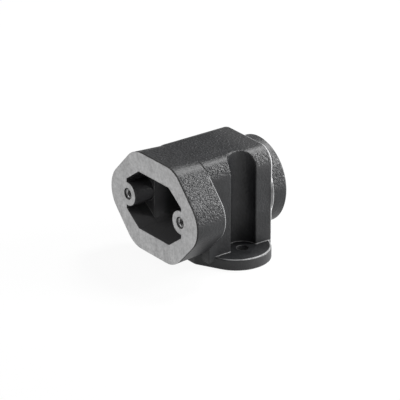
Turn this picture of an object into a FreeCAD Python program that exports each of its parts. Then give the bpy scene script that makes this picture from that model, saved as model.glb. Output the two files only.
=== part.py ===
import FreeCAD, Part
import math
import os

import Sketcher
from FreeCAD import Vector

# One-piece die-cast socket housing of a rectangular industrial connector.
# Millimetres. The origin lies in the base plane, midway between the two mounting holes.
# The mating face looks towards -Y, the cable entry towards +Y, and +Z is up.

NODE = "socket_housing"

DRIVING_SIZES = (
    # The elongated octagon of the mating face and the barrel behind it
    ("face_width", 64.0),
    ("face_height", 46.4),
    ("face_flat", 30.2),
    ("face_side", 10.8),
    ("face_corner_radius", 13.2),
    ("barrel_length", 16.8),
    ("barrel_draft", 3.5),
    ("barrel_end_radius", 0.6),
    # The height of the mating axis, and how far the face stands before the mounting holes
    ("axis_height", 27.2),
    ("face_reach", 35.3),
    # The block behind the barrel, with its rounded crown level with the drafted barrel's end
    ("block_width", 38.6),
    ("block_length", 35.1),
    ("crown_radius", 8.1),
    ("rear_rim_radius", 1.6),
    # The base flange with its two lobes and the nose under the barrel
    ("base_thickness", 5.2),
    ("base_width", 61.2),
    ("base_rear", 15.2),
    ("lobe_radius", 16.0),
    ("lobe_shoulder", 10.2),
    ("nose_width", 22.2),
    ("nose_reach", 20.7),
    ("nose_radius", 4.0),
    ("base_edge_radius", 0.8),
    # The mounting holes, and the upright channels that clear their screws and the driver
    ("mount_spacing", 37.6),
    ("mount_hole", 5.5),
    ("channel_width", 13.8),
    ("channel_rim_radius", 0.5),
    ("channel_wall", 2.8),
    ("left_channel_height", 38.0),
    # The socket for the contact insert, with a tapped boss on either side
    ("socket_width", 40.8),
    ("socket_height", 27.6),
    ("socket_flat", 22.5),
    ("socket_side", 14.4),
    ("socket_corner_radius", 0.5),
    ("socket_depth", 10.6),
    ("boss_spacing", 39.0),
    ("boss_width", 11.0),
    ("tapped_bore", 4.2),
    ("tapped_depth", 14.0),
    ("tapped_chamfer", 0.7),
    # The wiring chamber behind the socket, and the neck between the screw channels
    ("chamber_width", 27.8),
    ("chamber_corner_radius", 4.0),
    ("neck_height", 23.6),
    ("neck_corner_radius", 3.0),
    # The round cable entry, bored for a gland thread of 1.5 mm pitch
    ("entry_width", 40.2),
    ("entry_length", 7.6),
    ("entry_drop", 0.4),
    ("entry_rim_chamfer", 0.8),
    ("entry_bore", 30.4),
    ("entry_chamfer", 1.1),
)

# A point within this distance of a plane lies on it
ON_PLANE = 1e-3


def sizes_sheet(doc):
    """The sheet that holds every driving dimension under a name of its own."""
    sheet = doc.addObject("Spreadsheet::Sheet", "Sizes")
    for row, (alias, value) in enumerate(DRIVING_SIZES, start=1):
        sheet.set(f"A{row}", alias)
        sheet.set(f"B{row}", str(value))
        sheet.setAlias(f"B{row}", alias)
    doc.recompute()
    return sheet


def number(owner, expression):
    """The present value of an expression as a plain number."""
    found = owner.evalExpression(expression)
    return float(getattr(found, "Value", found))


# Places and shapes that follow from the driving dimensions

AXIS = "Sizes.axis_height"
FACE_Y = "-Sizes.face_reach"
BARREL_END_Y = f"({FACE_Y} + Sizes.barrel_length)"
BLOCK_START_Y = f"({BARREL_END_Y} - Sizes.barrel_end_radius)"
REAR_Y = f"({BARREL_END_Y} + Sizes.block_length)"
CROWN_Z = f"({AXIS} + Sizes.face_height / 2 - Sizes.barrel_length * tan(Sizes.barrel_draft * 1 deg))"
BLOCK_SIDE = "Sizes.block_width / 2"
# The block reaches down into the flange, so that its front corners close the gap under the barrel
BLOCK_FOOT_Z = "(Sizes.base_thickness / 2)"
HOLE_X = "Sizes.mount_spacing / 2"

FACET_RUN = "((Sizes.face_width - Sizes.face_flat) / 2)"
FACET_RISE = "((Sizes.face_height - Sizes.face_side) / 2)"
SIDE_TURN = f"atan2({FACET_RUN}; {FACET_RISE})"

# A rounded corner keeps a short straight piece between its arc and the next one
FACE_RADIUS = (
    f"min(Sizes.face_corner_radius; 0.98 * Sizes.face_side / 2 / tan({SIDE_TURN} / 2);"
    f" 0.98 * Sizes.face_flat / 2 / tan((90 deg - {SIDE_TURN}) / 2))"
)

SHOULDER_RUN = "((Sizes.base_width - Sizes.nose_width) / 2)"
SHOULDER_RISE = "(Sizes.nose_reach - Sizes.lobe_shoulder)"
SHOULDER_TURN = f"atan2({SHOULDER_RUN}; {SHOULDER_RISE})"
LOBE_LENGTH = "(Sizes.base_rear + Sizes.lobe_shoulder)"
LOBE_RADIUS = f"min(Sizes.lobe_radius; 0.98 * {LOBE_LENGTH} / (1 + tan({SHOULDER_TURN} / 2)))"

# The metal left between a screw channel and what is bored or cored beside it
CHANNEL_GUARD = "(Sizes.channel_width / 2 + Sizes.channel_wall)"
CHAMBER_END_Y = f"(-sqrt({CHANNEL_GUARD} ^ 2 - ({HOLE_X} - Sizes.chamber_width / 2) ^ 2))"
BORE_END_Y = f"sqrt({CHANNEL_GUARD} ^ 2 - ({HOLE_X} - Sizes.entry_bore / 2) ^ 2)"
NECK_SIDE = f"({HOLE_X} - {CHANNEL_GUARD})"

# The boss starts at the middle of the block's rounded rear rim, so that it stands on metal
ENTRY_START_Y = f"({REAR_Y} - (1 - sqrt(0.5)) * Sizes.rear_rim_radius)"
ENTRY_END_Y = f"({REAR_Y} + Sizes.entry_length)"
ENTRY_CENTRE = ("0", f"{AXIS} - Sizes.entry_drop")
BOSS_CENTRES = [("Sizes.boss_spacing / 2", AXIS), ("-Sizes.boss_spacing / 2", AXIS)]


def sketch_on(body, name, role, offset):
    """A sketch on one of the body's origin planes, moved along that plane's normal."""
    sketch = body.newObject("Sketcher::SketchObject", name)
    plane = next(item for item in body.Origin.OriginFeatures if item.Role == role)
    sketch.AttachmentSupport = [(plane, "")]
    sketch.MapMode = "FlatFace"
    sketch.setExpression("AttachmentOffset.Base.z", offset)
    return sketch


def section_at(body, name, y):
    """An upright sketch across the mating axis, at a place along Y. Its normal looks towards -Y."""
    return sketch_on(body, name, "XZ_Plane", f"-({y})")


def bind(sketch, constraint, name, expression):
    """Adds a driving dimension whose value follows an expression."""
    index = sketch.addConstraint(constraint)
    sketch.renameConstraint(index, name)
    sketch.setExpression(f"Constraints.{name}", expression)


def place(sketch, name, geometry, point, x, y):
    """Dimensions a point of the sketch from its origin."""
    across = Sketcher.Constraint("DistanceX", -1, 1, geometry, point, number(sketch, x))
    bind(sketch, across, f"{name}_x", x)
    up = Sketcher.Constraint("DistanceY", -1, 1, geometry, point, number(sketch, y))
    bind(sketch, up, f"{name}_y", y)


def circles(sketch, diameter, centres):
    """One circle of the same diameter about each centre."""
    for i, (x, y) in enumerate(centres):
        middle = Vector(number(sketch, x), number(sketch, y), 0)
        rim = Part.Circle(middle, Vector(0, 0, 1), number(sketch, diameter) / 2)
        circle = sketch.addGeometry(rim, False)
        across = Sketcher.Constraint("Diameter", circle, number(sketch, diameter))
        bind(sketch, across, f"circle_{i}", diameter)
        place(sketch, f"centre_{i}", circle, 3, x, y)


def both_sides(right_side):
    """The right-hand corners from the bottom up, then their mirror images from the top down."""
    return right_side + [(f"-({x})", y, radius) for x, y, radius in reversed(right_side)]


def octagon(width, height, flat, side, radius):
    """The corners of an octagon about the mating axis, from its sizes as expressions."""
    return both_sides(
        [
            (f"{flat} / 2", f"{AXIS} - {height} / 2", radius),
            (f"{width} / 2", f"{AXIS} - {side} / 2", radius),
            (f"{width} / 2", f"{AXIS} + {side} / 2", radius),
            (f"{flat} / 2", f"{AXIS} + {height} / 2", radius),
        ]
    )


def rounded_box(width, height, radius):
    """The corners of a box about the mating axis, from its sizes as expressions."""
    return both_sides(
        [
            (f"{width} / 2", f"{AXIS} - {height} / 2", radius),
            (f"{width} / 2", f"{AXIS} + {height} / 2", radius),
        ]
    )


def outline(sketch, corners):
    """A closed outline through corners given as x, y and radius expressions.

    A radius of None leaves its corner sharp. A rounded corner keeps the sharp point as the
    dimensioned one, and its arc is tangent to the sides that meet there.
    """
    points = [Vector(number(sketch, x), number(sketch, y), 0) for x, y, radius in corners]
    count = len(points)
    arcs = []
    for i, (x, y, radius) in enumerate(corners):
        if radius is None:
            arcs.append(None)
            continue
        after = points[(i + 1) % count]
        arcs.append(corner_arc(points[i - 1], points[i], after, number(sketch, radius)))
    sides = []
    for i in range(count):
        j = (i + 1) % count
        start = arcs[i].EndPoint if arcs[i] else points[i]
        end = arcs[j].StartPoint if arcs[j] else points[j]
        sides.append(sketch.addGeometry(Part.LineSegment(start, end), False))
    for i, (x, y, radius) in enumerate(corners):
        if radius is None:
            sketch.addConstraint(Sketcher.Constraint("Coincident", sides[i - 1], 2, sides[i], 1))
            place(sketch, f"corner_{i}", sides[i], 1, x, y)
            continue
        arc = sketch.addGeometry(arcs[i], False)
        corner = sketch.addGeometry(Part.Point(points[i]), True)
        sketch.addConstraint(Sketcher.Constraint("Tangent", sides[i - 1], 2, arc, 1))
        sketch.addConstraint(Sketcher.Constraint("Tangent", arc, 2, sides[i], 1))
        sketch.addConstraint(Sketcher.Constraint("PointOnObject", corner, 1, sides[i - 1]))
        sketch.addConstraint(Sketcher.Constraint("PointOnObject", corner, 1, sides[i]))
        bind(sketch, Sketcher.Constraint("Radius", arc, number(sketch, radius)), f"radius_{i}", radius)
        place(sketch, f"corner_{i}", corner, 1, x, y)


def corner_arc(before, corner, after, radius):
    """The arc, anticlockwise, that rounds a convex corner between two neighbouring corners."""
    back = (before - corner).normalize()
    ahead = (after - corner).normalize()
    half_angle = back.getAngle(ahead) / 2
    reach = radius / math.tan(half_angle)
    centre = corner + (back + ahead).normalize() * (radius / math.sin(half_angle))
    circle = Part.Circle(centre, Vector(0, 0, 1), radius)
    start = circle.parameter(corner + back * reach)
    end = circle.parameter(corner + ahead * reach)
    return Part.ArcOfCircle(circle, start, end)


def swept(body, kind, name, sketch, length, backwards=False, draft=None):
    """A pad or pocket of a sketch. Raises an error where it leaves the solid as it was."""
    doc = body.Document
    before = body.Shape.Volume if body.Tip else 0.0
    feature = body.newObject(f"PartDesign::{kind}", name)
    feature.Profile = sketch
    feature.Reversed = backwards
    feature.setExpression("Length", length)
    if draft:
        feature.setExpression("TaperAngle", draft)
    doc.recompute()
    change = feature.Shape.Volume - before
    if (change > ON_PLANE) != (kind == "Pad") or abs(change) < ON_PLANE:
        raise RuntimeError(f"{name} changes the volume by {change:.3f} mm3")
    return feature


def drilled(body, name, sketch, diameter, depth, backwards=False, chamfer=None):
    """Holes at a sketch's circles, with a chamfer at the mouth where one is given."""
    doc = body.Document
    doc.recompute()
    before = body.Shape.Volume
    hole = body.newObject("PartDesign::Hole", name)
    hole.Profile = sketch
    hole.Reversed = backwards
    hole.DepthType = "Dimension"
    hole.DrillPoint = "Flat"
    if chamfer:
        hole.HoleCutType = "Countersink"
        hole.HoleCutCustomValues = True
        hole.setExpression("HoleCutDiameter", f"{diameter} + 2 * {chamfer}")
        hole.HoleCutCountersinkAngle = 90
    hole.setExpression("Diameter", diameter)
    hole.setExpression("Depth", depth)
    doc.recompute()
    if hole.Shape.Volume > before - ON_PLANE:
        raise RuntimeError(f"{name} cuts nothing")
    return hole


def rounded(body, name, radius, chosen):
    """A fillet on the edges of the present solid that a test picks."""
    return edges_cut(body, "Fillet", "Radius", name, radius, chosen)


def chamfered(body, name, size, chosen):
    """A chamfer on the edges of the present solid that a test picks."""
    return edges_cut(body, "Chamfer", "Size", name, size, chosen)


def edges_cut(body, kind, size_property, name, size, chosen):
    """A fillet or chamfer. Raises an error where it finds no edge or breaks the solid."""
    base = body.Tip
    names = [f"Edge{i}" for i, edge in enumerate(base.Shape.Edges, start=1) if chosen(edge)]
    if not names:
        raise RuntimeError(f"{name} finds no edge")
    feature = body.newObject(f"PartDesign::{kind}", name)
    feature.Base = (base, names)
    feature.setExpression(size_property, size)
    body.Document.recompute()
    if feature.Shape.isNull() or not feature.Shape.isValid():
        raise RuntimeError(f"{name} gives no valid solid")
    return feature


def lies_at(edge, axis, value):
    """Whether a whole edge lies in the plane where one coordinate has the given value."""
    box = edge.BoundBox
    low = getattr(box, f"{axis}Min")
    high = getattr(box, f"{axis}Max")
    return abs(low - value) < ON_PLANE and abs(high - value) < ON_PLANE


def add_barrel(body):
    """The octagonal barrel, drafted from the mating face and rounded all round where it ends."""
    face = section_at(body, "face_outline", FACE_Y)
    outline(
        face,
        octagon(
            "Sizes.face_width",
            "Sizes.face_height",
            "Sizes.face_flat",
            "Sizes.face_side",
            FACE_RADIUS,
        ),
    )
    swept(body, "Pad", "barrel", face, "Sizes.barrel_length", True, "-Sizes.barrel_draft * 1 deg")
    end_y = number(body, BARREL_END_Y)
    rounded(body, "barrel_end", "Sizes.barrel_end_radius", lambda edge: lies_at(edge, "Y", end_y))


def add_block(body):
    """The block on the flange, as high as the barrel's end, with a rounded crown."""
    section = section_at(body, "block_section", BLOCK_START_Y)
    outline(
        section,
        both_sides(
            [
                (BLOCK_SIDE, BLOCK_FOOT_Z, None),
                (BLOCK_SIDE, CROWN_Z, "Sizes.crown_radius"),
            ]
        ),
    )
    swept(body, "Pad", "block", section, f"{REAR_Y} - {BLOCK_START_Y}", backwards=True)


def add_base(body):
    """The flange: a nose under the barrel, sloping shoulders and a round lobe about each screw.

    Behind its lobes a heel carries the block's rear wall down to the mounting plane.
    """
    plan = sketch_on(body, "base_outline", "XY_Plane", "0")
    outline(
        plan,
        both_sides(
            [
                ("Sizes.nose_width / 2", "-Sizes.nose_reach", "Sizes.nose_radius"),
                ("Sizes.base_width / 2", "-Sizes.lobe_shoulder", LOBE_RADIUS),
                ("Sizes.base_width / 2", "Sizes.base_rear", LOBE_RADIUS),
            ]
        ),
    )
    swept(body, "Pad", "base", plan, "Sizes.base_thickness")
    foot = sketch_on(body, "heel_outline", "XY_Plane", "0")
    outline(foot, both_sides([(BLOCK_SIDE, "0", None), (BLOCK_SIDE, REAR_Y, None)]))
    swept(body, "Pad", "heel", foot, "Sizes.base_thickness")


def round_edges(body):
    """Rounds the rear rim of the block and heel, and the top edge of the flange."""
    rear_y = number(body, REAR_Y)
    rounded(
        body,
        "rear_rim",
        "Sizes.rear_rim_radius",
        lambda edge: lies_at(edge, "Y", rear_y) and not lies_at(edge, "Z", 0),
    )
    top_z = number(body, "Sizes.base_thickness")
    side = number(body, BLOCK_SIDE)
    rounded(
        body,
        "flange_edge",
        "Sizes.base_edge_radius",
        lambda edge: lies_at(edge, "Z", top_z) and abs(edge.CenterOfMass.x) > side + ON_PLANE,
    )


def add_entry(body):
    """The round boss of the cable entry behind the block."""
    ring = section_at(body, "entry_outline", ENTRY_START_Y)
    circles(ring, "Sizes.entry_width", [ENTRY_CENTRE])
    swept(body, "Pad", "entry", ring, f"{ENTRY_END_Y} - {ENTRY_START_Y}", backwards=True)
    end_y = number(body, ENTRY_END_Y)
    chamfered(body, "entry_rim", "Sizes.entry_rim_chamfer", lambda edge: lies_at(edge, "Y", end_y))


def cut_channels(body):
    """An upright channel over each mounting hole, open at the side.

    The right one also opens through the crown. The left one ends under it.
    """
    right = sketch_on(body, "right_channel_outline", "XY_Plane", "Sizes.base_thickness")
    circles(right, "Sizes.channel_width", [(HOLE_X, "0")])
    swept(body, "Pocket", "right_channel", right, f"{AXIS} + Sizes.face_height / 2", backwards=True)
    left = sketch_on(body, "left_channel_outline", "XY_Plane", "Sizes.base_thickness")
    circles(left, "Sizes.channel_width", [(f"-{HOLE_X}", "0")])
    swept(body, "Pocket", "left_channel", left, "Sizes.left_channel_height", backwards=True)
    holes = sketch_on(body, "mounting_hole_centres", "XY_Plane", "0")
    circles(holes, "Sizes.mount_hole", [(HOLE_X, "0"), (f"-{HOLE_X}", "0")])
    drilled(body, "mounting_holes", holes, "Sizes.mount_hole", "Sizes.base_thickness", backwards=True)

    hole_x = number(body, HOLE_X)
    radius = number(body, "Sizes.channel_width / 2")
    floor_z = number(body, "Sizes.base_thickness")
    ceiling_z = number(body, "Sizes.base_thickness + Sizes.left_channel_height")

    def from_wall(point):
        return math.hypot(abs(point.x) - hole_x, point.y) - radius

    def rims_channel(edge):
        if lies_at(edge, "Z", floor_z) or lies_at(edge, "Z", ceiling_z):
            return False
        return all(abs(from_wall(point)) < ON_PLANE for point in edge.discretize(Number=5))

    rounded(body, "channel_rims", "Sizes.channel_rim_radius", rims_channel)


def cut_socket(body):
    """The octagonal socket with its two bosses, each bored for the screw of the mating half."""
    mouth = section_at(body, "socket_outline", FACE_Y)
    outline(
        mouth,
        octagon(
            "Sizes.socket_width",
            "Sizes.socket_height",
            "Sizes.socket_flat",
            "Sizes.socket_side",
            "Sizes.socket_corner_radius",
        ),
    )
    swept(body, "Pocket", "socket", mouth, "Sizes.socket_depth")
    bosses = section_at(body, "boss_outline", FACE_Y)
    circles(bosses, "Sizes.boss_width", BOSS_CENTRES)
    swept(body, "Pad", "bosses", bosses, "Sizes.socket_depth", backwards=True)
    bores = section_at(body, "tapped_centres", FACE_Y)
    circles(bores, "Sizes.tapped_bore", BOSS_CENTRES)
    depth = "Sizes.tapped_depth"
    drilled(body, "tapped_holes", bores, "Sizes.tapped_bore", depth, chamfer="Sizes.tapped_chamfer")


def cut_inside(body):
    """The wiring space, from the socket through the neck between the channels to the cable entry."""
    front = section_at(body, "chamber_outline", FACE_Y)
    outline(front, rounded_box("Sizes.chamber_width", "Sizes.socket_height", "Sizes.chamber_corner_radius"))
    swept(body, "Pocket", "chamber", front, f"{CHAMBER_END_Y} + Sizes.face_reach")
    middle = section_at(body, "neck_outline", CHAMBER_END_Y)
    outline(middle, rounded_box(f"(2 * {NECK_SIDE})", "Sizes.neck_height", "Sizes.neck_corner_radius"))
    swept(body, "Pocket", "neck", middle, f"{BORE_END_Y} - {CHAMBER_END_Y}")
    bore = section_at(body, "entry_centre", ENTRY_END_Y)
    circles(bore, "Sizes.entry_bore", [ENTRY_CENTRE])
    depth = f"{ENTRY_END_Y} - {BORE_END_Y}"
    drilled(
        body,
        "entry_hole",
        bore,
        "Sizes.entry_bore",
        depth,
        backwards=True,
        chamfer="Sizes.entry_chamfer",
    )


def build(doc):
    """The housing as one solid, from the outer casting to its holes."""
    body = doc.addObject("PartDesign::Body", NODE)
    body.Label = NODE
    add_barrel(body)
    add_block(body)
    add_base(body)
    round_edges(body)
    add_entry(body)
    cut_channels(body)
    cut_socket(body)
    cut_inside(body)
    return body


def check(doc):
    """Stops where an object of the document has failed."""
    for item in doc.Objects:
        if "Invalid" in item.State or "Error" in item.State:
            raise RuntimeError(f"{item.Name} is {item.State}")


def main():
    """Builds the housing and writes its solid."""
    doc = FreeCAD.newDocument("socket_housing_model")
    sizes_sheet(doc)
    body = build(doc)
    doc.recompute()
    check(doc)
    shape = body.Shape
    if shape.isNull() or not shape.isValid() or len(shape.Solids) != 1:
        raise RuntimeError(f"{body.Label} is not one valid solid")
    os.makedirs("parts", exist_ok=True)
    shape.exportStep(f"parts/{body.Label}.step")
    print(f"{body.Label}: {shape.Volume / 1000:.2f} cm3, {shape.BoundBox}")


main()
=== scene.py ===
"""Looks of the connector socket housing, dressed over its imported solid.

The scene is in metres, in the solid's own frame: the origin lies in the base plane midway between
the mounting holes, the mating face looks towards -Y, the cable entry towards +Y, and +Z is up.
The lengths stated in this script are in millimetres, unless their name ends in _m.
"""

import logging
import math
from dataclasses import dataclass
from enum import Enum
from typing import Any, Callable

import bpy
from mathutils import Matrix, Vector


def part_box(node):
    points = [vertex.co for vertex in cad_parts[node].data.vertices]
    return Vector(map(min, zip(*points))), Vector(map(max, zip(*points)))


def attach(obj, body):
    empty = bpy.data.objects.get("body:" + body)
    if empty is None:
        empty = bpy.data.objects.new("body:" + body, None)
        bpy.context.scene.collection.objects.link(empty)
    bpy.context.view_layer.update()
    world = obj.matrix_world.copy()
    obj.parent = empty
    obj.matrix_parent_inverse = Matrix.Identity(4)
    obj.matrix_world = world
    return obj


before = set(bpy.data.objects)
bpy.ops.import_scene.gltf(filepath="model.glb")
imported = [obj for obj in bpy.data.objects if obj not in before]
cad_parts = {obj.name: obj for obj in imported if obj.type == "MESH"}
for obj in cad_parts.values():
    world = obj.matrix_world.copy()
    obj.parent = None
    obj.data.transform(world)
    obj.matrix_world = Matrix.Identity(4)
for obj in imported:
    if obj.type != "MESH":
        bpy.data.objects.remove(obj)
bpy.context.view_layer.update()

log = logging.getLogger("socket_housing")

MM = 0.001
NODE = "socket_housing"
Triple = tuple[float, float, float]
Colour = Triple
WHITE: Colour = (1.0, 1.0, 1.0)

# The coupling screws' distance from the middle, and the heights of their axes and the entry's.
BOSS_X = 19.5
AXIS_Z = 27.2
ENTRY_Z = 26.8


class Side(Enum):
    """The two sides of the housing, by the sign of X."""

    RIGHT = 1.0
    LEFT = -1.0


class Wire:
    """A shader socket that takes part in Python expressions, each operator adding a node."""

    def __init__(self, shop: "Shop", socket: bpy.types.NodeSocket) -> None:
        """Wraps a socket.

        Args:
            shop: the node tree's builder.
            socket: an output socket in that tree.
        """
        self.shop = shop
        self.socket = socket

    def _math(self, operation: str, *values: Any) -> "Wire":
        """Adds a Math node over the given values."""
        return self.shop.node("ShaderNodeMath", {"operation": operation}, dict(enumerate(values)))

    def __add__(self, other: Any) -> "Wire":
        """self + other."""
        return self._math("ADD", self, other)

    __radd__ = __add__

    def __sub__(self, other: Any) -> "Wire":
        """self - other."""
        return self._math("SUBTRACT", self, other)

    def __rsub__(self, other: Any) -> "Wire":
        """other - self."""
        return self._math("SUBTRACT", other, self)

    def __mul__(self, other: Any) -> "Wire":
        """self * other."""
        return self._math("MULTIPLY", self, other)

    __rmul__ = __mul__

    def __abs__(self) -> "Wire":
        """abs(self)."""
        return self._math("ABSOLUTE", self)

    def most(self, other: Any) -> "Wire":
        """The larger of two values."""
        return self._math("MAXIMUM", self, other)

    def from_axis(self, other: "Wire") -> "Wire":
        """The distance from the point where this value and the other are both 0."""
        return self._math("SQRT", self * self + other * other)

    def ramp(self, low: float, high: float, to_low: float = 0.0, to_high: float = 1.0) -> "Wire":
        """A smooth step from to_low to to_high as the value goes from low to high.

        Args:
            low: where the step starts.
            high: where it ends.
            to_low: the result at and below low.
            to_high: the result at and above high.

        Returns:
            The stepped value.
        """
        settings = {"interpolation_type": "SMOOTHSTEP"}
        inputs = {0: self, 1: low, 2: high, 3: to_low, 4: to_high}
        return self.shop.node("ShaderNodeMapRange", settings, inputs)


@dataclass(frozen=True)
class Step:
    """A smooth step of a plain number: where it starts and ends, and the result at either end."""

    low: float
    high: float
    to_low: float = 0.0
    to_high: float = 1.0

    def of(self, value: Wire) -> Wire:
        """The step of a value."""
        return value.ramp(self.low, self.high, self.to_low, self.to_high)


@dataclass(frozen=True)
class Band:
    """A stretch of a coordinate over which a mask comes or goes."""

    start: float
    end: float

    def over(self, value: Wire, before: float, after: float) -> Wire:
        """One level before the band and another after it."""
        return value.ramp(self.start * MM, self.end * MM, before, after)

    def rise(self, value: Wire, level: float = 1.0) -> Wire:
        """0 before the band and level after it."""
        return self.over(value, 0.0, level)

    def fall(self, value: Wire, level: float = 1.0) -> Wire:
        """level before the band and 0 after it."""
        return self.over(value, level, 0.0)


@dataclass(frozen=True)
class Grain:
    """A fractal noise: its period, its octaves and their roughness."""

    period: float
    detail: float
    rough: float = 0.5

    def at(self, where: Wire, result: str = "Fac") -> Wire:
        """The noise at a point.

        Args:
            where: the point, in the object or beside it.
            result: the output wanted, a value or a colour.

        Returns:
            The noise.
        """
        scale = 1.0 / (self.period * MM)
        inputs = {"Vector": where, "Scale": scale, "Detail": self.detail, "Roughness": self.rough}
        return where.shop.node("ShaderNodeTexNoise", {}, inputs, result)


class Shop:
    """Builds one node tree, a material's or the world's."""

    def __init__(self, owner: bpy.types.Material | bpy.types.World, output: str) -> None:
        """Empties the owner's tree but for its output.

        Args:
            owner: the material or the world.
            output: the type of its output node.
        """
        owner.use_nodes = True
        self.owner = owner
        self.tree = owner.node_tree
        self.tree.nodes.clear()
        self.output = self.tree.nodes.new(output)

    @classmethod
    def of_material(cls, name: str) -> "Shop":
        """The builder of a new material's tree."""
        return cls(bpy.data.materials.new(name), "ShaderNodeOutputMaterial")

    @classmethod
    def of_world(cls, name: str) -> "Shop":
        """The builder of a new world's tree."""
        return cls(bpy.data.worlds.new(name), "ShaderNodeOutputWorld")

    def node(
        self,
        kind: str,
        settings: dict[str, Any] | None = None,
        inputs: dict[Any, Any] | None = None,
        result: Any = 0,
    ) -> Wire:
        """Adds a node, sets it and links or fills its sockets.

        Args:
            kind: the node's type.
            settings: its properties, set before its sockets.
            inputs: socket names or indices with values or wires.
            result: the name or index of the output wanted.

        Returns:
            That output.
        """
        made = self.tree.nodes.new(kind)
        for name, value in (settings or {}).items():
            setattr(made, name, value)
        for key, value in (inputs or {}).items():
            self.feed(made.inputs[key], value)
        return Wire(self, made.outputs[result])

    def feed(self, socket: bpy.types.NodeSocket, value: Any) -> None:
        """Links a wire to a socket, or sets a plain value on it.

        Args:
            socket: an input socket in this tree.
            value: the wire or the value.
        """
        if isinstance(value, Wire):
            self.tree.links.new(value.socket, socket)
            return
        if socket.type == "RGBA" and len(value) == 3:
            value = (*value, 1.0)
        socket.default_value = value

    def place(self) -> tuple[Wire, ...]:
        """The point on the surface in object coordinates.

        Returns:
            The point, and its x, y and z.
        """
        point = self.node("ShaderNodeTexCoord", result="Object")
        split = self.node("ShaderNodeSeparateXYZ", {}, {0: point}).socket.node
        return (point, *(Wire(self, part) for part in split.outputs))

    def blend(self, mask: Any, low: Any, high: Any) -> Wire:
        """Mixes two colours by a mask, through the Mix node's sockets for colours.

        Args:
            mask: from 0 to 1.
            low: the colour where the mask is 0.
            high: the colour where it is 1.

        Returns:
            The mixed colour.
        """
        return self.node("ShaderNodeMix", {"data_type": "RGBA"}, {0: mask, 6: low, 7: high}, 2)

    def vector(self, operation: str, *values: Any, result: Any = 0) -> Wire:
        """Adds a Vector Math node over the given vectors.

        Args:
            operation: what it does.
            values: its vectors, in order.
            result: the output wanted.

        Returns:
            That output.
        """
        settings = {"operation": operation}
        return self.node("ShaderNodeVectorMath", settings, dict(enumerate(values)), result)

    def seen(self, mirrored: bool = True) -> Wire:
        """Tells what is looked at from light that only falls on the object.

        Args:
            mirrored: whether reflections count as well.

        Returns:
            1 for what the camera, a view through glass and, if mirrored, a reflection sees.
        """
        camera = self.node("ShaderNodeLightPath", result="Is Camera Ray")
        direct = camera.most(self.node("ShaderNodeLightPath", result="Is Transmission Ray"))
        if not mirrored:
            return direct
        return direct.most(self.node("ShaderNodeLightPath", result="Is Glossy Ray"))

    def facing(self, way: Any) -> Wire:
        """The cosine between the surface's own normal and a direction."""
        normal = self.node("ShaderNodeNewGeometry", result="Normal")
        return self.vector("DOT_PRODUCT", normal, way, result="Value")

    def bump(self, height: Wire, depth: float, under: Wire | None = None) -> Wire:
        """Turns a height into a bumped normal.

        Args:
            height: the height, from 0 to 1.
            depth: the length that a height of 1 stands for.
            under: the normal that is bumped, or the surface's own.

        Returns:
            The normal.
        """
        inputs: dict[Any, Any] = {"Strength": 1.0, "Distance": depth * MM, "Height": height}
        if under is not None:
            inputs["Normal"] = under
        return self.node("ShaderNodeBump", {}, inputs)

    def end(self, shader: Wire) -> bpy.types.Material | bpy.types.World:
        """Ends the tree in a shader and gives back its owner."""
        self.feed(self.output.inputs["Surface"], shader)
        return self.owner

    def principled(self, inputs: dict[str, Any]) -> bpy.types.Material:
        """Ends the tree in a Principled shader with these inputs."""
        return self.end(self.node("ShaderNodeBsdfPrincipled", {}, inputs))


@dataclass(frozen=True)
class Surface:
    """A point of the casting's surface, as its material sees it."""

    shop: Shop
    where: Wire
    x: Wire
    y: Wire
    z: Wire

    def across(self, centre_x: float) -> Wire:
        """The distance in X from a centre that both sides have."""
        return abs(self.x) - centre_x * MM

    def round_upright(self, centre_x: float, centre_y: float = 0.0) -> Wire:
        """The distance from an upright axis that both sides have."""
        return self.across(centre_x).from_axis(self.y - centre_y * MM)

    def round_entry(self) -> Wire:
        """The distance from the cable entry's axis."""
        return self.x.from_axis(self.z - ENTRY_Z * MM)


@dataclass(frozen=True)
class Machining:
    """Where the casting is machined: the face plane, the tapped holes and the entry's bore."""

    face: Band = Band(0.02, 0.08)
    tap: Band = Band(2.2, 2.26)
    tap_end: Band = Band(-20.0, -19.0)
    bore: Band = Band(15.8, 16.3)
    bore_start: Band = Band(9.02, 9.12)

    def mask(self, at: Surface, depth: Wire) -> Wire:
        """Builds the mask.

        Args:
            at: the point on the surface.
            depth: how far it lies behind the mating face.

        Returns:
            1 on bare metal, 0 on the coat.
        """
        round_tap = at.across(BOSS_X).from_axis(at.z - AXIS_Z * MM)
        tap = self.tap.fall(round_tap) * self.tap_end.fall(at.y)
        bore = self.bore.fall(at.round_entry()) * self.bore_start.rise(at.y)
        return self.face.fall(depth).most(tap).most(bore)


@dataclass(frozen=True)
class Interior:
    """The socket and the chamber behind its shoulder, where the coat lies smooth and its colour
    is painted lighter to stand in for light inside.
    """

    shoulder: Band = Band(-24.6, -24.4)
    socket_reach: float = 20.6
    chamber_reach: float = 14.1
    wall: Band = Band(0.0, 0.1)
    height: Band = Band(14.0, 14.1)
    end: Band = Band(-8.2, -8.0)

    def mask(self, at: Surface) -> Wire:
        """Builds the mask.

        Args:
            at: the point on the surface.

        Returns:
            1 inside, 0 elsewhere.
        """
        reach = self.shoulder.over(at.y, self.socket_reach * MM, self.chamber_reach * MM)
        tall = self.height.fall(abs(at.z - AXIS_Z * MM))
        return self.wall.rise(reach - abs(at.x)) * tall * self.end.fall(at.y)


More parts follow.
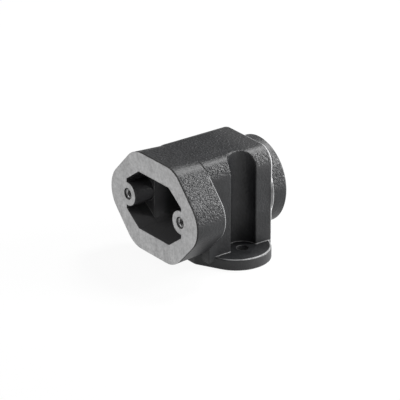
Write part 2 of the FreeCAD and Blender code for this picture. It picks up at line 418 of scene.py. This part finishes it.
@dataclass(frozen=True)
class HighlightRims:
    """Three edges painted light grey as highlights.

    They are the block's rear rim outside the boss, the barrel's end and the flange's top edge.
    """

    rear_start: Band = Band(15.3, 15.8)
    rear_end: Band = Band(16.48, 16.58)
    rear_side: Band = Band(18.2, 18.5)
    boss: Band = Band(20.15, 20.3)
    barrel_start: Band = Band(-19.15, -18.9)
    barrel_end: Band = Band(-18.6, -18.52)
    barrel_side: Band = Band(18.4, 19.6)
    barrel_height: Band = Band(9.0, 20.0)
    barrel_level: float = 0.58
    lobe_x: float = 14.6
    lobe_y: float = -0.8
    lobe: Band = Band(15.25, 15.5)
    flange_foot: Band = Band(4.7, 4.95)
    flange_top: Band = Band(5.22, 5.3)
    flange_front: Band = Band(-16.5, -12.0)
    flange_level: float = 0.5
    patches: Grain = Grain(2.4, 2.0, 0.6)
    patchy: Step = Step(0.25, 0.55, 0.7, 1.0)

    def mask(self, at: Surface) -> Wire:
        """Builds the mask.

        Args:
            at: the point on the surface.

        Returns:
            1 where a highlight is painted on an edge, 0 elsewhere.
        """
        outside = self.rear_side.rise(abs(at.x)).most(self.boss.rise(at.round_entry()))
        rear = self.rear_start.rise(at.y) * self.rear_end.fall(at.y) * outside
        barrel = self.barrel_start.rise(at.y) * self.barrel_end.fall(at.y)
        barrel = barrel * self.barrel_side.rise(abs(at.x))
        barrel = barrel * self.barrel_height.rise(at.z, self.barrel_level)
        flange = self.lobe.rise(at.round_upright(self.lobe_x, self.lobe_y))
        flange = flange * self.flange_front.rise(at.y) * self.flange_foot.rise(at.z)
        flange = flange * self.flange_top.fall(at.z, self.flange_level)
        # Painted highlights on the three edges, broken into patches.
        return rear.most(barrel).most(flange) * self.patchy.of(self.patches.at(at.where))


@dataclass(frozen=True)
class Edges:
    """Where handling has thinned the coat along the other edges; the light grey there is also a
    painted highlight.
    """

    turned: Step = Step(0.86, 0.985, 0.6, 0.0)
    patches: Grain = Grain(3.0, 3.0, 0.7)
    patchy: Step = Step(0.3, 0.7, 0.25, 1.0)
    foot_front: Band = Band(-15.5, -14.0)
    foot_height: Band = Band(10.0, 14.0)
    hole_x: float = 18.8
    mouth: Band = Band(4.0, 5.0)
    mouth_height: Band = Band(5.4, 6.0)
    mouth_calm: float = 0.75

    def mask(self, at: Surface, rounded: Wire, calm: Wire) -> Wire:
        """Builds the mask.

        Args:
            at: the point on the surface.
            rounded: the normal as it would be with rounded edges.
            calm: how far the coat is spared for another reason.

        Returns:
            How far the coat is thinned by wear, which also paints a highlight.
        """
        turned = self.turned.of(at.shop.facing(rounded))
        edge_wear_and_highlight = turned * self.patchy.of(self.patches.at(at.where))
        return edge_wear_and_highlight * (1.0 - self.sheltered(at).most(calm))

    def sheltered(self, at: Surface) -> Wire:
        """Finds the edges spared wear and painted highlight: the foot under the barrel and the
        mounting holes.

        Args:
            at: the point on the surface.

        Returns:
            How far the coat is spared.
        """
        foot = self.foot_front.fall(at.y) * self.foot_height.fall(at.z)
        mouth = self.mouth.fall(at.round_upright(self.hole_x), self.mouth_calm)
        return foot.most(mouth * self.mouth_height.fall(at.z))


@dataclass(frozen=True)
class Wrinkles:
    """The coat's wrinkles, about a millimetre apart, and the fine skin between them."""

    warp: Grain = Grain(10.0 / 7.0, 1.0)
    warp_reach: float = 0.6
    grain: Grain = Grain(1.15, 2.0)
    ridges: Step = Step(0.36, 0.66)
    skin: Grain = Grain(0.35, 2.0, 0.6)
    skin_share: float = 0.08
    depth: float = 0.22
    up: Triple = (0.0, 0.0, 1.0)
    upright: Step = Step(0.05, 0.4, 0.25, 1.0)
    shallow: Step = Step(0.74, 0.88, 1.0, 0.22)
    level: Step = Step(0.96, 0.995, 1.0, 2.4)
    flange: Band = Band(8.0, 12.0)
    flange_share: float = 0.4

    def height(self, at: Surface, skin: Wire) -> Wire:
        """The wrinkled coat's height.

        Args:
            at: the point on the surface.
            skin: the fine skin's noise.

        Returns:
            The height, from 0 to 1.
        """
        reach = (self.warp_reach * MM,) * 3
        warp = self.warp.at(at.where, "Color")
        warped = at.shop.vector("MULTIPLY_ADD", warp, reach, at.where)
        ridges = self.ridges.of(self.grain.at(warped))
        return ridges * (1.0 - self.skin_share) + skin * self.skin_share

    def strength(self, at: Surface) -> Wire:
        """How deep the wrinkles stand.

        They are full on slopes, and weaker on upright walls, gentle turns, level tops and the
        flange.

        Args:
            at: the point on the surface.

        Returns:
            The share of their full depth.
        """
        up = at.shop.facing(self.up)
        slope = self.upright.of(up) * self.shallow.of(up) * self.level.of(up)
        return slope * self.flange.over(at.z, self.flange_share, 1.0)


@dataclass(frozen=True)
class Milling:
    """The machined metal's stains and the arcs that a wide face mill leaves.

    The arcs are centred beside the part, at cutter_x to its left.
    """

    metal: Colour = (0.52, 0.52, 0.522)
    metal_dark: Colour = (0.30, 0.30, 0.302)
    cutter_x: float = 85.0
    arcs: Grain = Grain(0.3125, 3.0)
    arc_stretch: float = 0.012
    arc_step: Step = Step(0.3, 0.7)
    stain: Grain = Grain(6.0, 4.0, 0.65)
    stain_step: Step = Step(0.3, 0.75)
    mottle: Grain = Grain(1.3, 3.0, 0.7)
    mottle_step: Step = Step(0.3, 0.72)
    stain_share: float = 0.45
    spots_share: float = 0.40
    marks_share: float = 0.15

    def marks(self, at: Surface) -> Wire:
        """The mill's arcs.

        Args:
            at: the point on the surface.

        Returns:
            The marks, from 0 to 1.
        """
        arc = (at.x + self.cutter_x * MM).from_axis(at.z)
        parts = {0: arc, 1: at.x * self.arc_stretch, 2: at.z * self.arc_stretch}
        return self.arc_step.of(self.arcs.at(at.shop.node("ShaderNodeCombineXYZ", {}, parts)))

    def spots(self, at: Surface) -> Wire:
        """The small mottling of cut metal, from 0 to 1."""
        return self.mottle_step.of(self.mottle.at(at.where))

    def colour(self, at: Surface, marks: Wire, spots: Wire) -> Wire:
        """The metal's colour.

        Args:
            at: the point on the surface.
            marks: the mill's arcs.
            spots: the small mottling.

        Returns:
            The colour.
        """
        stain = self.stain_step.of(self.stain.at(at.where))
        dark = stain * self.stain_share + spots * self.spots_share + marks * self.marks_share
        return at.shop.blend(dark, self.metal, self.metal_dark)


@dataclass(frozen=True)
class Gloss:
    """The roughness of the coat and of the bare metal, and how each detail changes it."""

    coat: float = 0.40
    slopes: float = -0.14
    skin: float = 0.10
    cloud: float = 0.06
    edge: float = -0.08
    lip: float = 0.40
    metal: float = 0.42
    marks: float = 0.08
    spots: float = 0.10


@dataclass(frozen=True)
class CoatedCasting:
    """Black wrinkle powder coat over the casting, bare metal wherever it is machined.

    The mating face, the tapped holes and the cable entry's bore are cut after coating.
    """

    face_y_m: float
    machining: Machining = Machining()
    interior: Interior = Interior()
    highlight_rims: HighlightRims = HighlightRims()
    edges: Edges = Edges()
    wrinkles: Wrinkles = Wrinkles()
    milling: Milling = Milling()
    gloss: Gloss = Gloss()
    bevel: float = 0.8
    bevel_samples: int = 8
    specular: float = 0.32
    coat: Colour = (0.0095, 0.0098, 0.0108)
    coat_pale: Colour = (0.0165, 0.017, 0.0185)
    # Painted light: the socket is lighter than the outside coat, and its floor lighter still.
    painted_light_inside: Colour = (0.038, 0.038, 0.040)
    painted_light_socket_floor: Colour = (0.100, 0.100, 0.102)
    # Near black: painted shade on the barrel's first millimetre behind the face.
    shaded: Colour = (0.002, 0.002, 0.002)
    # A lighter coat, painted light where light falls strongly: the rear of the top and the
    # flange's side.
    painted_light_coat: Colour = (0.032, 0.032, 0.033)
    # Light grey: bare metal where edge wear reaches it, and a painted highlight on the rim edges.
    wear_and_highlight_grey: Colour = (0.46, 0.46, 0.465)
    cloud: Grain = Grain(9.0, 3.0, 0.6)
    cloud_step: Step = Step(0.35, 0.7)
    lip: Band = Band(0.7, 1.2)
    # Painted light: the rear of the block's top is made lighter.
    painted_light_from: Band = Band(-2.0, 14.0)
    painted_light_above: Band = Band(34.0, 46.0)
    painted_light_level: float = 0.8
    # Painted light: the flange's side is made lighter.
    flange_side: Band = Band(4.2, 5.0)
    flange_level: float = 0.6
    socket_floor: Band = Band(12.0, 22.0)
    inside_spared: float = 0.55
    inside_smooth: float = 0.75
    marks_height: float = 0.03

    def make(self) -> bpy.types.Material:
        """Builds the material.

        Returns:
            The finish of the casting.
        """
        shop = Shop.of_material("coated_casting")
        at = Surface(shop, *shop.place())
        settings = {"samples": self.bevel_samples}
        rounded = shop.node("ShaderNodeBevel", settings, {"Radius": self.bevel * MM})
        depth = at.y - self.face_y_m
        bare = self.machining.mask(at, depth)
        inside = self.interior.mask(at)
        lip = self.lip.fall(depth)
        edge_wear_and_highlight = self.edges.mask(at, rounded, lip.most(inside * self.inside_spared))
        # Edge wear and painted highlights on the rim edges, in one mask.
        edge = edge_wear_and_highlight.most(self.highlight_rims.mask(at))
        cloud = self.cloud.at(at.where)
        skin = self.wrinkles.skin.at(at.where)
        strength = self.wrinkles.strength(at)
        marks = self.milling.marks(at)
        spots = self.milling.spots(at)

        gloss = self.gloss
        coat_rough = gloss.coat + strength * gloss.slopes + skin * gloss.skin
        coat_rough = coat_rough + cloud * gloss.cloud + edge * gloss.edge + lip * gloss.lip
        metal_rough = gloss.metal + marks * gloss.marks + spots * gloss.spots
        coated = 1.0 - bare
        smooth = 1.0 - inside * self.inside_smooth
        height = self.wrinkles.height(at, skin) * coated * smooth * strength
        height = height + marks * bare * self.marks_height
        coat = self.coat_colour(at, cloud, lip, inside, edge)
        return shop.principled(
            {
                "Base Color": shop.blend(bare, coat, self.milling.colour(at, marks, spots)),
                "Roughness": coat_rough * coated + metal_rough * bare,
                "Metallic": bare,
                "Specular IOR Level": self.specular,
                "Normal": shop.bump(height, self.wrinkles.depth, rounded),
            }
        )

    def coat_colour(self, at: Surface, cloud: Wire, lip: Wire, inside: Wire, edge: Wire) -> Wire:
        """The coat's colour, from its ground to what wear shows through it, with painted light,
        painted shade and painted highlights over it.

        Args:
            at: the point on the surface.
            cloud: the broad unevenness of the coat.
            lip: 1 on the barrel's first millimetre behind the face, where painted shade lies.
            inside: 1 in the socket and the wiring chamber, which are painted lighter.
            edge: the mask of edge wear and of the highlights painted on the rim edges.

        Returns:
            The colour.
        """
        blend = at.shop.blend
        # Painted light on the rear of the block's top.
        painted_rear_light = self.painted_light_from.rise(at.y) * self.painted_light_above.rise(at.z)
        ground = blend(self.cloud_step.of(cloud), self.coat, self.coat_pale)
        ground = blend(painted_rear_light * self.painted_light_level, ground, self.painted_light_coat)
        # Painted shade on the barrel's first millimetre behind the face.
        ground = blend(lip, ground, self.shaded)
        # Painted light on the flange's side.
        ground = blend(self.flange_side.fall(at.z, self.flange_level), ground, self.painted_light_coat)
        # Painted light inside the socket, lightest on its floor.
        deep = blend(self.socket_floor.rise(at.z), self.painted_light_socket_floor, self.painted_light_inside)
        # Light grey where edge wear reaches the metal, and as painted highlights on the rim
        # edges.
        return blend(edge, blend(inside, ground, deep), self.wear_and_highlight_grey)


@dataclass(frozen=True)
class CutThread:
    """Bright metal of a freshly cut thread, darker with cutting oil in its roots."""

    metal: Colour = (0.50, 0.50, 0.50)
    oiled: Colour = (0.24, 0.24, 0.245)
    oil: Grain = Grain(1.6, 3.0, 0.6)
    oil_step: Step = Step(0.35, 0.7)
    rough: float = 0.22
    oil_rough: float = 0.2
    chatter: Grain = Grain(0.5, 2.0)
    chatter_stretch: Triple = (1.0, 6.0, 1.0)
    chatter_depth: float = 0.02

    def make(self) -> bpy.types.Material:
        """Builds the material.

        Returns:
            The finish of the cut threads.
        """
        shop = Shop.of_material("cut_thread")
        where = shop.place()[0]
        oil = self.oil.at(where)
        chatter = self.chatter.at(shop.vector("MULTIPLY", where, self.chatter_stretch))
        return shop.principled(
            {
                "Base Color": shop.blend(self.oil_step.of(oil), self.metal, self.oiled),
                "Roughness": self.rough + oil * self.oil_rough,
                "Metallic": 1.0,
                "Normal": shop.bump(chatter, self.chatter_depth),
            }
        )


@dataclass(frozen=True)
class StudioWhite:
    """The floor: white to the camera and in reflections, and still taking the object's shadow."""

    shown: float = 0.93
    ground: Colour = (0.86, 0.86, 0.86)

    def make(self) -> bpy.types.Material:
        """Builds the floor's material.

        Returns:
            The finish of the floor.
        """
        shop = Shop.of_material("studio_white")
        matt = shop.node("ShaderNodeBsdfDiffuse", {}, {"Color": self.ground})
        glow = shop.node("ShaderNodeEmission", {}, {"Color": WHITE, "Strength": 1.0})
        inputs = {0: shop.seen() * self.shown, 1: matt, 2: glow}
        return shop.end(shop.node("ShaderNodeMixShader", {}, inputs))


@dataclass(frozen=True)
class Camera:
    """The photograph's viewpoint, with its axes as directions in the scene."""

    place_m: Triple = (1.10329, -0.83863, 0.64009)
    right: Triple = (0.600081, 0.799937, 0.001726)
    up: Triple = (-0.326906, 0.243261, 0.913212)
    back: Triple = (0.730093, -0.548566, 0.407480)
    lens: float = 304.78
    sensor: float = 36.0
    reach_m: float = 20.0

    def build(self) -> None:
        """Adds the camera and makes it the scene's."""
        data = bpy.data.cameras.new("camera")
        data.sensor_width = self.sensor
        data.sensor_fit = "HORIZONTAL"
        data.lens = self.lens
        data.clip_end = self.reach_m
        made = bpy.data.objects.new("camera", data)
        bpy.context.scene.collection.objects.link(made)
        turn = Matrix((self.right, self.up, self.back)).transposed()
        made.matrix_world = Matrix.Translation(Vector(self.place_m)) @ turn.to_4x4()
        bpy.context.scene.camera = made


@dataclass(frozen=True)
class Softbox:
    """A square area lamp that looks at the housing."""

    name: str
    place_m: Triple
    size_m: float
    watts: float
    aim_m: Triple = (0.0, 0.0, 0.025)

    def build(self) -> None:
        """Adds the lamp, unseen by the camera."""
        data = bpy.data.lights.new(self.name, "AREA")
        data.size = self.size_m
        data.energy = self.watts
        lamp = bpy.data.objects.new(self.name, data)
        bpy.context.scene.collection.objects.link(lamp)
        lamp.location = self.place_m
        look = Vector(self.aim_m) - Vector(self.place_m)
        lamp.rotation_euler = look.to_track_quat("-Z", "Y").to_euler()
        lamp.visible_camera = False


@dataclass(frozen=True)
class Studio:
    """Floor, world and lamps."""

    world_level: float = 0.26
    floor_size_m: float = 6.0
    floor_drop: float = 0.05
    lamps: tuple[Softbox, ...] = (
        Softbox("key", (-0.145, 0.61, 0.93), 0.32, 10.5),
        Softbox("back", (0.095, 0.125, 0.16), 0.08, 0.36),
        Softbox("front", (-0.55, -1.05, 0.70), 0.9, 4.5),
        Softbox("rim", (0.42, 1.05, 0.12), 0.24, 7.0),
        Softbox("side", (1.00, 0.80, 0.20), 0.5, 3.6),
        Softbox("low", (1.10, 0.25, 0.10), 0.5, 2.8),
    )

    def build(self) -> None:
        """Adds the stage and its light."""
        self.lay_floor()
        self.light_world()
        for lamp in self.lamps:
            lamp.build()
        log.info("studio built")

    def lay_floor(self) -> None:
        """Lays the floor a hair under the base, so that the two planes never coincide."""
        deselect()
        place = (0.0, 0.0, -self.floor_drop * MM)
        bpy.ops.mesh.primitive_plane_add(size=self.floor_size_m, location=place)
        floor = bpy.context.active_object
        floor.name = "floor"
        floor.data.materials.append(StudioWhite().make())

    def light_world(self) -> None:
        """A plain white world: dim where it lights the object, full white where it is seen."""
        shop = Shop.of_world("studio")
        level = shop.seen(mirrored=False).ramp(0.0, 1.0, self.world_level, 1.0)
        light = shop.node("ShaderNodeBackground", {}, {"Color": WHITE, "Strength": level})
        bpy.context.scene.world = shop.end(light)


def deselect() -> None:
    """Deselects every object."""
    bpy.ops.object.select_all(action="DESELECT")


def pick_vertices(picked: Callable[[Vector], bool]) -> None:
    """Selects, in edit mode, the vertices whose place passes a test.

    Args:
        picked: the test on a vertex's place in its object.
    """
    bpy.ops.mesh.select_all(action="DESELECT")
    bpy.ops.object.mode_set(mode="OBJECT")
    for vertex in bpy.context.active_object.data.vertices:
        vertex.select = picked(vertex.co)
    bpy.ops.object.mode_set(mode="EDIT")


@dataclass(frozen=True)
class TappedThread:
    """The helical ridge of an internal thread round an axis along Y."""

    name: str
    centre_x: float
    centre_z: float
    start_y: float
    turns: int
    core_radius: float
    pitch: float
    height: float
    steps: int
    sunk: float = 0.15
    crest_share: float = 0.25
    corners: int = 4
    flank: float = math.radians(30)
    weld: float = 0.001
    smooth_under: float = math.radians(35)

    def build(self, finish: bpy.types.Material) -> bpy.types.Object:
        """Models the ridge and dresses it.

        Args:
            finish: the material of the cut metal.

        Returns:
            The thread's object, its place in its mesh.
        """
        piece = self.profile()
        self.wind(piece)
        self.close()
        piece.data.materials.clear()
        piece.data.materials.append(finish)
        return piece

    def profile(self) -> bpy.types.Object:
        """Shapes the ridge's section: its flat crest inwards, its root sunk in the wall.

        Returns:
            The object that holds the section.
        """
        deselect()
        depth = (self.height + self.sunk) * MM
        crest = self.pitch * self.crest_share * MM
        middle = (self.core_radius - self.height) * MM + depth / 2
        place = (self.centre_x * MM, self.start_y * MM, self.centre_z * MM)
        bpy.ops.mesh.primitive_plane_add(size=1.0, location=place)
        piece = bpy.context.active_object
        piece.name = self.name
        bpy.ops.object.mode_set(mode="EDIT")
        bpy.ops.mesh.delete(type="ONLY_FACE")
        bpy.ops.mesh.select_all(action="SELECT")
        bpy.ops.transform.resize(value=(depth, crest, 1.0), center_override=place)
        bpy.ops.transform.translate(value=(middle, 0.0, 0.0))
        pick_vertices(lambda spot: spot.x > middle)
        widen = (crest + 2 * depth * math.tan(self.flank)) / crest
        bpy.ops.transform.resize(value=(1.0, widen, 1.0), center_override=place)
        bpy.ops.object.mode_set(mode="OBJECT")
        return piece

    def wind(self, piece: bpy.types.Object) -> None:
        """Winds the section along its helix.

        Args:
            piece: the object that holds the section.
        """
        screw = piece.modifiers.new("helix", "SCREW")
        screw.axis = "Y"
        screw.angle = math.tau
        screw.screw_offset = self.pitch * MM
        screw.iterations = self.turns
        screw.steps = self.steps
        screw.render_steps = self.steps
        screw.use_merge_vertices = False
        bpy.ops.object.modifier_apply(modifier=screw.name)

    def close(self) -> None:
        """Closes the ridge's ends, turns its faces outwards and moves its place into its mesh."""
        bpy.ops.object.mode_set(mode="EDIT")
        bpy.ops.mesh.select_all(action="SELECT")
        bpy.ops.mesh.remove_doubles(threshold=self.weld * MM)
        bpy.ops.mesh.fill_holes(sides=self.corners)
        bpy.ops.mesh.select_all(action="SELECT")
        bpy.ops.mesh.normals_make_consistent(inside=False)
        bpy.ops.object.mode_set(mode="OBJECT")
        bpy.ops.object.transform_apply(location=True, rotation=True, scale=True)
        bpy.ops.object.shade_smooth_by_angle(angle=self.smooth_under)


@dataclass(frozen=True)
class Threads:
    """The threads cut into the two bosses and the cable entry."""

    coupling: TappedThread = TappedThread(
        name="coupling_thread_right",
        centre_x=Side.RIGHT.value * BOSS_X,
        centre_z=AXIS_Z,
        start_y=-34.4,
        turns=15,
        core_radius=2.1,
        pitch=0.8,
        height=0.3,
        steps=36,
    )
    entry: TappedThread = TappedThread(
        name="entry_thread",
        centre_x=0.0,
        centre_z=ENTRY_Z,
        start_y=11.2,
        turns=7,
        core_radius=15.2,
        pitch=1.5,
        height=0.6,
        steps=120,
    )

    def build(self) -> None:
        """Models the two kinds of thread and copies the coupling thread to the other boss."""
        finish = CutThread().make()
        right = self.coupling.build(finish)
        left = self.copy_across(right, "coupling_thread_left")
        for piece in (right, left, self.entry.build(finish)):
            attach(piece, "root")
            log.info("%s built", piece.name)

    def copy_across(self, piece: bpy.types.Object, name: str) -> bpy.types.Object:
        """Copies the right boss's thread into the left boss, with a mesh of its own.

        Args:
            piece: the thread in the right boss.
            name: the copy's name.

        Returns:
            The copy, its place in its mesh.
        """
        deselect()
        piece.select_set(True)
        bpy.context.view_layer.objects.active = piece
        bpy.ops.object.duplicate(linked=False)
        copied = bpy.context.active_object
        copied.name = name
        step = (Side.LEFT.value - Side.RIGHT.value) * BOSS_X * MM
        bpy.ops.transform.translate(value=(step, 0.0, 0.0))
        bpy.ops.object.transform_apply(location=True, rotation=False, scale=False)
        return copied


class Housing:
    """The casting, whose solid keeps its own mesh and gets its finish here."""

    def dress(self) -> None:
        """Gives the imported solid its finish."""
        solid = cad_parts[NODE]
        face_y_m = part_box(NODE)[0].y
        solid.data.materials.clear()
        solid.data.materials.append(CoatedCasting(face_y_m).make())
        log.info("housing dressed")


def main() -> None:
    """Builds the scene."""
    logging.basicConfig(level=logging.INFO, format="%(message)s")
    bpy.context.scene.view_settings.view_transform = "Standard"
    Housing().dress()
    Threads().build()
    Camera().build()
    Studio().build()


if __name__ == "__main__":
    main()
